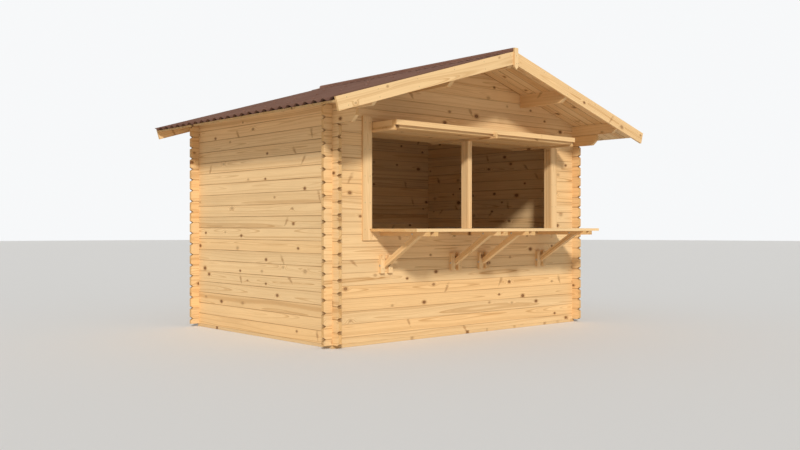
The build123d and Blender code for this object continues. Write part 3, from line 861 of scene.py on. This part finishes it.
# %% Make the finishes of the small metal
def zinc(name, dark, light):
    """Zinc-plated steel: grey or yellow metal, tone and roughness changing in small clouds."""
    material, shader, place, _ = new_material(name)
    x, y, z = (place.along(axis) for axis in (X, Y, Z))
    cloud = noise(x * 140.0, y * 140.0, z * 140.0).step(-0.4, 0.4)
    feed(shader, "Base Color", cloud.blend(dark, light))
    feed(shader, "Roughness", cloud * 0.16 + 0.36)
    shader.inputs["Metallic"].default_value = 1.0
    return material


steel = zinc("bright_zinc", (0.46, 0.46, 0.45, 1.0), (0.62, 0.62, 0.60, 1.0))
yellow_steel = zinc("yellow_zinc", (0.44, 0.33, 0.17, 1.0), (0.60, 0.47, 0.26, 1.0))
print("bright zinc for hinges and bolts, yellow zinc for screws")

# %% [markdown]
# ## Screws
#
# Fasteners are small, but their rows tell where the timbers behind them run. A screw head is
# a turned shape with a shallow dip, and one profile makes all the heads at once. Boards get
# two screws at each bearing: the barge boards at the purlins and halfway between them, the
# casings along both edges, and the counter over every bracket arm.

# %% Screw the boards
SCREW = ((0.0040, 0.0046, 0.0040, 0.0024, 0.0020), (-0.0010, 0.0001, 0.0006, 0.0007, 0.0002))
HEAD_SIDES = 10
FORWARD = (0.0, -1.0, 0.0)
BARGE_SHIFT, CASING_EDGE = 0.034, 0.024
END_GAP, FOOT_GAP, RAIL_EDGE = 0.06, 0.10, 0.022
COVER_FOOT, COVER_TOP = 0.055, 0.075
ARM_SHIFT, CLEAT_FACE = 0.0472, 0.0302
COUNTER_ROWS, CLEAT_ROWS = np.array([0.05, 0.32, 0.55]), [0.684, 0.768]


def studs(spots, out, radii, heights, sides=HEAD_SIDES):
    """Small turned parts at many spots: ring k has radius radii[k] at heights[k] along `out`."""
    out = np.asarray(out, float)
    u = np.cross(out, (0.31, 0.52, 0.80))
    u /= np.linalg.norm(u)
    v = np.cross(out, u)
    turn = np.linspace(0.0, 2.0 * np.pi, sides, endpoint=False)
    round_line = np.cos(turn)[:, None] * u + np.sin(turn)[:, None] * v
    profile = np.array(heights)[:, None, None] * out + np.array(radii)[:, None, None] * round_line
    return loft(np.asarray(spots, float).reshape(-1, 1, 1, 3) + profile)


def pairs(*axes):
    """All combinations of the given coordinates as rows of x, y and z."""
    return np.stack(np.meshgrid(*axes, indexing="ij"), -1).reshape(-1, 3)


barge_low, barge_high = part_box("front_barge_right")
barge_x = np.array([0.060, 0.420, 0.805, 1.250, 1.691, 2.020])
barge_z = barge_high.z - BARGE / COS / 2 - RISE * barge_x
heads = []
for face_y, out in ((barge_low.y, FORWARD), (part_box("rear_barge_right")[1].y, Y)):
    for side in (-1.0, 1.0):
        for shift in (-BARGE_SHIFT, BARGE_SHIFT):
            heads.append((together(side * (barge_x + shift * SIN), face_y,
                                   barge_z + shift * COS), out))

casing_low, casing_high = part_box("right_casing")
casing_x = np.array([casing_low.x + CASING_EDGE, casing_high.x - CASING_EDGE])
casing_z = np.linspace(casing_low.z + FOOT_GAP, casing_high.z - END_GAP, 5)
for side in (-1.0, 1.0):
    heads.append((pairs(side * casing_x, [casing_low.y], casing_z), FORWARD))
rail_low, rail_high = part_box("bottom_casing")
rail_x = np.linspace(rail_low.x + END_GAP, rail_high.x - END_GAP, 6)
heads.append((pairs(rail_x, [rail_low.y], [rail_low.z + RAIL_EDGE]), FORWARD))
cover_low, cover_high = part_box("front_apex_cover")
cover_z = [cover_low.z + COVER_FOOT, cover_high.z - COVER_TOP]
heads.append((pairs([0.0], [cover_low.y], cover_z), FORWARD))

bracket_x = np.array([-OUTER, -INNER, INNER, OUTER])
arm_x = (bracket_x[:, None] + [-ARM_SHIFT, ARM_SHIFT]).ravel()
counter_low, counter_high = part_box("counter_left")
heads.append((pairs(arm_x, counter_low.y + COUNTER_ROWS, [counter_high.z]), Z))
heads.append((pairs(arm_x, [FRONT - CLEAT_FACE], CLEAT_ROWS), FORWARD))
screw_points, screw_faces = join(*[studs(spots, out, *SCREW) for spots, out in heads])
link_piece("screws", screw_points, screw_faces, yellow_steel, smooth=50.0)
print("screws:", len(screw_points) // (HEAD_SIDES * len(SCREW[0])))

# %% [markdown]
# ## Bracket bolts and roof caps
#
# A bracket carries the counter's load, so its strut is bolted through both arms and both
# cleats. The roof sheet is held through its crests, where no water runs, and each of those
# screws hides under a cap in the sheet's colour. The top row goes through the ridge cap.

# %% Bolt the brackets and cap the roof
BOLT = ((0.0095, 0.0100, 0.0080, 0.0045), (-0.0010, 0.0008, 0.0030, 0.0042))
BOLT_SHIFT = 0.0714
BOLT_SPOTS = ((FRONT - 0.452, ARM_TOP - 0.0195), (FRONT - 0.0155, 0.714))
CAP = ((0.0140, 0.0150, 0.0140, 0.0100, 0.0040), (-0.0020, 0.0012, 0.0044, 0.0066, 0.0076))
CREST, RIDGE_WING = BOARD + WAVE + SHEET, 0.0044
CAP_ROWS = ((0.108, CREST + RIDGE_WING), (0.80, CREST), (1.45, CREST), (2.06, CREST))

bolts = []
for side in (-1.0, 1.0):
    for y, z in BOLT_SPOTS:
        spots = pairs(bracket_x + side * BOLT_SHIFT, [y], [z])
        bolts.append(studs(spots, (side, 0.0, 0.0), *BOLT, sides=14))
link_piece("bracket_bolts", *join(*bolts), steel, smooth=50.0)

caps = []
crest_y = sheet_low.y + (sheet_high.y - sheet_low.y) * np.arange(1, WAVE_COUNT, 3) / WAVE_COUNT
for side in (-1, 1):
    for s, lift in CAP_ROWS:
        spots = on_slope(side, s, crest_y, lift)
        caps.append(studs(spots, (side * SIN, 0.0, COS), *CAP, sides=12))
link_piece("roof_caps", *join(*caps), fibre_sheet("cap_finish", waved=False), "roof_sheet",
           smooth=50.0)
print("bolts:", 2 * len(BOLT_SPOTS) * len(bracket_x), "caps:", len(caps) * len(crest_y))

# %% [markdown]
# ## Hinges
#
# A strap hinge is a long plate that narrows away from its pin, a short plate on the frame and
# a knuckle between them. The straps lie over the ledges, where their screws find enough wood.
# The long plate is a loft of four squared rings, so its taper is two short lists.

# %% Make the door's hinges
OUTSIDE = door_high.y
PIN = door_high.x + 0.0025
PLATE, PLATE_EDGE = 0.0030, 0.0008
STRAP_ALONG = np.array([0.008, 0.010, 0.275, 0.290])
STRAP_HALF = np.array([0.0150, 0.0170, 0.0110, 0.0070])
STRAP_SCREWS = np.array([0.040, 0.110, 0.190, 0.265])
FRAME_PLATE, FRAME_PLATE_HALF = (0.008, 0.046), 0.040
FRAME_SCREW, FRAME_SCREW_HALF = 0.030, 0.026
KNUCKLE = ((0.0050, 0.0068, 0.0068, 0.0050), (0.0, 0.002, 0.082, 0.084))
KNUCKLE_OUT, KNUCKLE_HALF = 0.006, 0.042


def straps(z, plate_y):
    """Three hinges: tapered plates over the ledges, frame plates and knuckles, as lofts."""
    corner_z = np.array([-1.0, 1.0, 1.0, -1.0])
    corner_y = np.array([0.0, 0.0, 1.0, 1.0]) * PLATE
    rings = np.zeros((len(z), 4, 4, 3))
    rings[..., 0] = (PIN - STRAP_ALONG)[:, None]
    rings[..., 1] = plate_y + corner_y
    rings[..., 2] = z[:, None, None] + STRAP_HALF[:, None] * corner_z
    low = together(PIN + FRAME_PLATE[0], plate_y, z - FRAME_PLATE_HALF)
    high = together(PIN + FRAME_PLATE[1], plate_y + PLATE, z + FRAME_PLATE_HALF)
    pins = together(PIN, plate_y + KNUCKLE_OUT, z - KNUCKLE_HALF)
    return join(loft(rings), bars(low, high, 2, PLATE_EDGE), studs(pins, Z, *KNUCKLE, sides=16))


strap_screws = pairs(PIN - STRAP_SCREWS, [OUTSIDE + PLATE], ledge_z)
frame_screws = pairs([door_high.x + FRAME_SCREW], [OUTSIDE + PLATE],
                     np.concatenate([ledge_z - FRAME_SCREW_HALF, ledge_z + FRAME_SCREW_HALF]))
link_piece("door_hinges", *join(straps(ledge_z, OUTSIDE), studs(strap_screws, Y, *SCREW),
                                studs(frame_screws, Y, *SCREW)), steel, smooth=40.0)
print("hinges:", len(ledge_z), "with", len(strap_screws) + len(frame_screws), "screws")

# %% [markdown]
# ## The handle
#
# The handle is a round bar bent twice. Its centre line is a superellipse arch, whose power
# decides how square the bends are, and circles set square to that line make the bar. Two
# round feet and a lock plate are turned like the screws.

# %% Make the door's handle
HANDLE_AT, HANDLE_HEIGHT, LOCK_HEIGHT = 0.060, 1.050, 0.900
BAR_REACH, BAR_LENGTH, BAR_RADIUS, SQUARENESS = 0.040, 0.136, 0.0055, 5.0
FOOT = ((0.0120, 0.0130, 0.0120, 0.0075), (0.0, 0.0006, 0.0024, 0.0030))
LOCK = ((0.0180, 0.0200, 0.0190, 0.0050, 0.0040), (0.0, 0.0006, 0.0020, 0.0022, 0.0004))


def bent_bar(centre, reach, height, radius, sides=14, steps=33):
    """A round bar along |2 z / height|^n + (y / reach)^n = 1, its ends against the leaf.

    With n the squareness, y is reach times |sin|^(2 / n) and z is half the height times
    |cos|^(2 / n) with the cosine's sign turned, over half a turn.
    """
    turn = np.linspace(0.0, np.pi, steps)
    power = 2.0 / SQUARENESS
    y = reach * np.abs(np.sin(turn)) ** power
    z = -height / 2 * np.sign(np.cos(turn)) * np.abs(np.cos(turn)) ** power
    path = together(0.0, y, z) + centre
    way = np.gradient(path, axis=0)
    way /= np.linalg.norm(way, axis=1, keepdims=True)
    u = np.broadcast_to(X, way.shape)
    v = np.cross(way, u)
    angle = np.linspace(0.0, 2.0 * np.pi, sides, endpoint=False)
    rings = path[:, None] + radius * (np.cos(angle)[:, None] * u[:, None]
                                      + np.sin(angle)[:, None] * v[:, None])
    return loft(rings[None])


handle_x = door_low.x + HANDLE_AT
bar = bent_bar((handle_x, OUTSIDE - 0.001, HANDLE_HEIGHT), BAR_REACH, BAR_LENGTH, BAR_RADIUS)
feet = pairs([handle_x], [OUTSIDE], HANDLE_HEIGHT + np.array([-0.5, 0.5]) * BAR_LENGTH)
lock = pairs([handle_x], [OUTSIDE], [LOCK_HEIGHT])
link_piece("door_handle", *join(bar, studs(feet, Y, *FOOT, sides=20),
                                studs(lock, Y, *LOCK, sides=24)), steel, smooth=40.0)
print("handle at x =", round(handle_x, 3))

# %% [markdown]
# ## The floor
#
# A pale floor and a pale background keep the eye on the stall. The floor is one flat disc, far
# wider than the picture, and lies a hair under the stall's bearers.

# %% Lay the floor
FLOOR = (0.78, 0.78, 0.77, 1.0)
FLOOR_RADIUS, FLOOR_SIDES, FLOOR_LEVEL = 60, 64, -0.0005

floor_finish = bpy.data.materials.new("floor")
floor_finish.use_nodes = True
floor_shader = floor_finish.node_tree.nodes["Principled BSDF"]
floor_shader.inputs["Base Color"].default_value = FLOOR
floor_shader.inputs["Roughness"].default_value = 0.9
floor_mesh = bpy.data.meshes.new("floor")
angle = np.linspace(0.0, 2.0 * np.pi, FLOOR_SIDES, endpoint=False)
rim = together(FLOOR_RADIUS * np.cos(angle), FLOOR_RADIUS * np.sin(angle), FLOOR_LEVEL)
floor_mesh.from_pydata(rim, [], [list(range(FLOOR_SIDES))])
floor_mesh.materials.append(floor_finish)
floor = bpy.data.objects.new("floor", floor_mesh)
bpy.context.scene.collection.objects.link(floor)
print("floor radius", FLOOR_RADIUS, "m")

# %% [markdown]
# ## Sky and lamp
#
# The world has two parts. Light comes from an even white sky of low strength, while the
# camera and reflections see a pale backdrop, picked by the kind of ray. The lamp is a sun with
# a wide disc, whose soft shadows still tell how far the roof and the counter stand out. Sky
# and lamp together light a colour about as it is written.

# %% Light the studio
SKY, SKY_STRENGTH = (1.0, 1.0, 1.0, 1.0), 0.40
BACKDROP = (0.93, 0.94, 0.95, 1.0)
LAMP_STRENGTH, LAMP_SPREAD = 2.6, 6.0
LAMP_COLOUR, LAMP_TURN = (1.0, 0.97, 0.93), (62.0, 0.0, -37.6)

world = bpy.data.worlds.new("studio")
bpy.context.scene.world = world
world.use_nodes = True
tree = world.node_tree
sky = tree.nodes["Background"]
sky.inputs["Color"].default_value = SKY
sky.inputs["Strength"].default_value = SKY_STRENGTH
ray = Signal(tree).node("LightPath", out="Is Camera Ray")
seen = ray + ray.other("Is Glossy Ray") + ray.other("Is Transmission Ray")
backdrop = seen.node("Background", {}, {"Color": BACKDROP})
shown = seen.node("MixShader", {}, {0: seen, 1: Signal(tree, sky.outputs[0]), 2: backdrop})
tree.links.new(shown.socket, tree.nodes["World Output"].inputs["Surface"])

lamp_data = bpy.data.lights.new("key", "SUN")
lamp_data.energy = LAMP_STRENGTH
lamp_data.angle = np.radians(LAMP_SPREAD)
lamp_data.color = LAMP_COLOUR
lamp = bpy.data.objects.new("key", lamp_data)
lamp.rotation_euler = np.radians(LAMP_TURN)
bpy.context.scene.collection.objects.link(lamp)
bpy.context.scene.view_settings.view_transform = "Standard"
print("sky", SKY_STRENGTH, "lamp", LAMP_STRENGTH)
